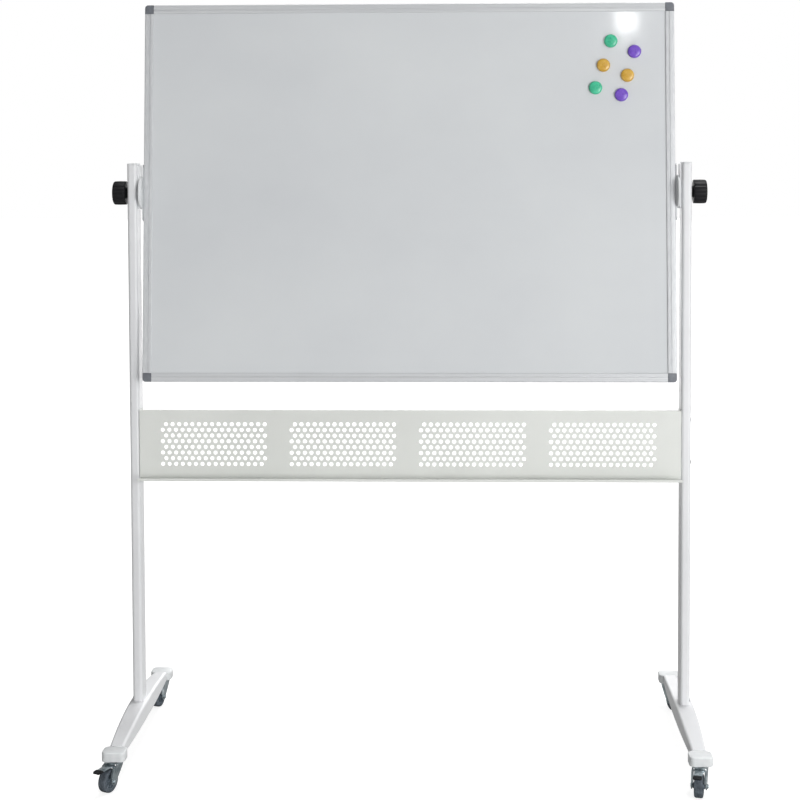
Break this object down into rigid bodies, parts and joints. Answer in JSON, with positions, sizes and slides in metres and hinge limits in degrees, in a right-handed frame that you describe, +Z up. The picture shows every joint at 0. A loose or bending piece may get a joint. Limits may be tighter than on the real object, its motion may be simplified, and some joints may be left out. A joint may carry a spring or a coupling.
{
  "type": "rolling whiteboard",
  "caption": "Double-sided whiteboard in an aluminium frame, turning between posts on arched feet with swivel casters, above a panel with a pen ledge; round magnets on the writing side.",
  "frame": {"origin": "on the floor, under the middle of the whole footprint, 22.5 mm in front of the plane of the posts", "axes": "+Z up; the writing side faces -Y; +X to the right as seen from the writing side"},
  "size_m": [1.3392, 0.6224, 1.6951],
  "materials": {
    "white_paint": "white powder coat, satin",
    "panel_paint": "off-white powder coat, fine texture",
    "white_plastic": "moulded, satin",
    "aluminium": "satin anodised extrusion",
    "grey_plastic": "moulded corner piece, satin",
    "black_plastic": "moulded, lightly textured",
    "writing_face": "glossy white lacquered steel sheet",
    "core_board": "fibreboard core, not seen",
    "zinc": "bright zinc plate",
    "tyre_rubber": "dark grey non-marking rubber",
    "hub_plastic": "moulded wheel centre",
    "magnet_green": "green moulded cap",
    "magnet_purple": "purple moulded cap",
    "magnet_yellow": "ochre yellow moulded cap"
  },
  "bodies": {
    "stand": {"post_left": "white_paint", "post_cap_left": "white_plastic", "foot_left": "white_paint", "panel_bolt_left_lower": "zinc", "panel_bolt_left_upper": "zinc", "friction_disc_left": "white_plastic", "post_right": "white_paint", "post_cap_right": "white_plastic", "foot_right": "white_paint", "panel_bolt_right_lower": "zinc", "panel_bolt_right_upper": "zinc", "friction_disc_right": "white_plastic", "foot_cap_front_left": "white_plastic", "caster_stem_front_left": "zinc", "foot_cap_front_right": "white_plastic", "caster_stem_front_right": "zinc", "foot_cap_rear_left": "white_plastic", "caster_stem_rear_left": "zinc", "foot_cap_rear_right": "white_plastic", "caster_stem_rear_right": "zinc", "modesty_panel": "panel_paint"},
    "board": {"frame_rail_top": "aluminium", "frame_rail_bottom": "aluminium", "frame_stile_left": "aluminium", "frame_stile_right": "aluminium", "pivot_bracket_left": "aluminium", "pivot_bracket_right": "aluminium", "frame_corner_top_right": "grey_plastic", "frame_corner_bottom_right": "grey_plastic", "frame_corner_bottom_left": "grey_plastic", "frame_corner_top_left": "grey_plastic", "board_core": "core_board", "writing_sheet_front": "writing_face", "writing_sheet_back": "writing_face"},
    "knob_left": {"knob_left": "black_plastic"},
    "knob_right": {"knob_right": "black_plastic"},
    "magnet_green_upper": {"magnet_green_upper": "magnet_green"},
    "magnet_purple_upper": {"magnet_purple_upper": "magnet_purple"},
    "magnet_yellow_left": {"magnet_yellow_left": "magnet_yellow"},
    "magnet_yellow_right": {"magnet_yellow_right": "magnet_yellow"},
    "magnet_green_lower": {"magnet_green_lower": "magnet_green"},
    "magnet_purple_lower": {"magnet_purple_lower": "magnet_purple"},
    "caster_front_left": {"caster_fork_front_left": "zinc", "caster_axle_front_left": "zinc"},
    "wheel_front_left": {"caster_hub_front_left": "hub_plastic", "caster_tyre_front_left": "tyre_rubber"},
    "brake_front_left": {"brake_pedal_front_left": "black_plastic"},
    "caster_front_right": {"caster_fork_front_right": "zinc", "caster_axle_front_right": "zinc"},
    "wheel_front_right": {"caster_hub_front_right": "hub_plastic", "caster_tyre_front_right": "tyre_rubber"},
    "brake_front_right": {"brake_pedal_front_right": "black_plastic"},
    "caster_rear_left": {"caster_fork_rear_left": "zinc", "caster_axle_rear_left": "zinc"},
    "wheel_rear_left": {"caster_hub_rear_left": "hub_plastic", "caster_tyre_rear_left": "tyre_rubber"},
    "caster_rear_right": {"caster_fork_rear_right": "zinc", "caster_axle_rear_right": "zinc"},
    "wheel_rear_right": {"caster_hub_rear_right": "hub_plastic", "caster_tyre_rear_right": "tyre_rubber"}
  },
  "joints": [
    {"name": "board_turn", "type": "hinge", "parent": "stand", "child": "board", "pos_m": [0, 0.0225, 1.2685], "axis": [1, 0, 0], "continuous": true},
    {"name": "knob_left_turn", "type": "hinge", "parent": "board", "child": "knob_left", "pos_m": [-0.655, 0.0225, 1.2685], "axis": [-1, 0, 0], "range_deg": [0, 270]},
    {"name": "knob_right_turn", "type": "hinge", "parent": "board", "child": "knob_right", "pos_m": [0.655, 0.0225, 1.2685], "axis": [1, 0, 0], "range_deg": [0, 270]},
    {"name": "magnet_green_upper_pull", "type": "slide", "parent": "board", "child": "magnet_green_upper", "axis": [0, -0.9957, 0.0924], "range_m": [0, 0.04]},
    {"name": "magnet_purple_upper_pull", "type": "slide", "parent": "board", "child": "magnet_purple_upper", "axis": [0, -0.9957, 0.0924], "range_m": [0, 0.04]},
    {"name": "magnet_yellow_left_pull", "type": "slide", "parent": "board", "child": "magnet_yellow_left", "axis": [0, -0.9957, 0.0924], "range_m": [0, 0.04]},
    {"name": "magnet_yellow_right_pull", "type": "slide", "parent": "board", "child": "magnet_yellow_right", "axis": [0, -0.9957, 0.0924], "range_m": [0, 0.04]},
    {"name": "magnet_green_lower_pull", "type": "slide", "parent": "board", "child": "magnet_green_lower", "axis": [0, -0.9957, 0.0924], "range_m": [0, 0.04]},
    {"name": "magnet_purple_lower_pull", "type": "slide", "parent": "board", "child": "magnet_purple_lower", "axis": [0, -0.9957, 0.0924], "range_m": [0, 0.04]},
    {"name": "swivel_front_left", "type": "hinge", "parent": "stand", "child": "caster_front_left", "pos_m": [-0.624, -0.2455, 0.061], "axis": [0, 0, 1], "continuous": true},
    {"name": "roll_front_left", "type": "hinge", "parent": "caster_front_left", "child": "wheel_front_left", "pos_m": [-0.63376, -0.26743, 0.025], "axis": [0.9135, -0.4067, 0], "continuous": true},
    {"name": "brake_front_left_press", "type": "hinge", "parent": "caster_front_left", "child": "brake_front_left", "pos_m": [-0.63092, -0.26103, 0.0545], "axis": [0.9135, -0.4067, 0], "range_deg": [0, 8]},
    {"name": "swivel_front_right", "type": "hinge", "parent": "stand", "child": "caster_front_right", "pos_m": [0.624, -0.2455, 0.061], "axis": [0, 0, 1], "continuous": true},
    {"name": "roll_front_right", "type": "hinge", "parent": "caster_front_right", "child": "wheel_front_right", "pos_m": [0.61819, -0.26879, 0.025], "axis": [0.9703, -0.2419, 0], "continuous": true},
    {"name": "brake_front_right_press", "type": "hinge", "parent": "caster_front_right", "child": "brake_front_right", "pos_m": [0.61989, -0.26199, 0.0545], "axis": [0.9703, -0.2419, 0], "range_deg": [0, 8]},
    {"name": "swivel_rear_left", "type": "hinge", "parent": "stand", "child": "caster_rear_left", "pos_m": [-0.624, 0.2905, 0.061], "axis": [0, 0, 1], "continuous": true},
    {"name": "roll_rear_left", "type": "hinge", "parent": "caster_rear_left", "child": "wheel_rear_left", "pos_m": [-0.62981, 0.26721, 0.025], "axis": [0.9703, -0.2419, 0], "continuous": true},
    {"name": "swivel_rear_right", "type": "hinge", "parent": "stand", "child": "caster_rear_right", "pos_m": [0.624, 0.2905, 0.061], "axis": [0, 0, 1], "continuous": true},
    {"name": "roll_rear_right", "type": "hinge", "parent": "caster_rear_right", "child": "wheel_rear_right", "pos_m": [0.63299, 0.26825, 0.025], "axis": [0.9272, 0.3746, 0], "continuous": true}
  ]
}
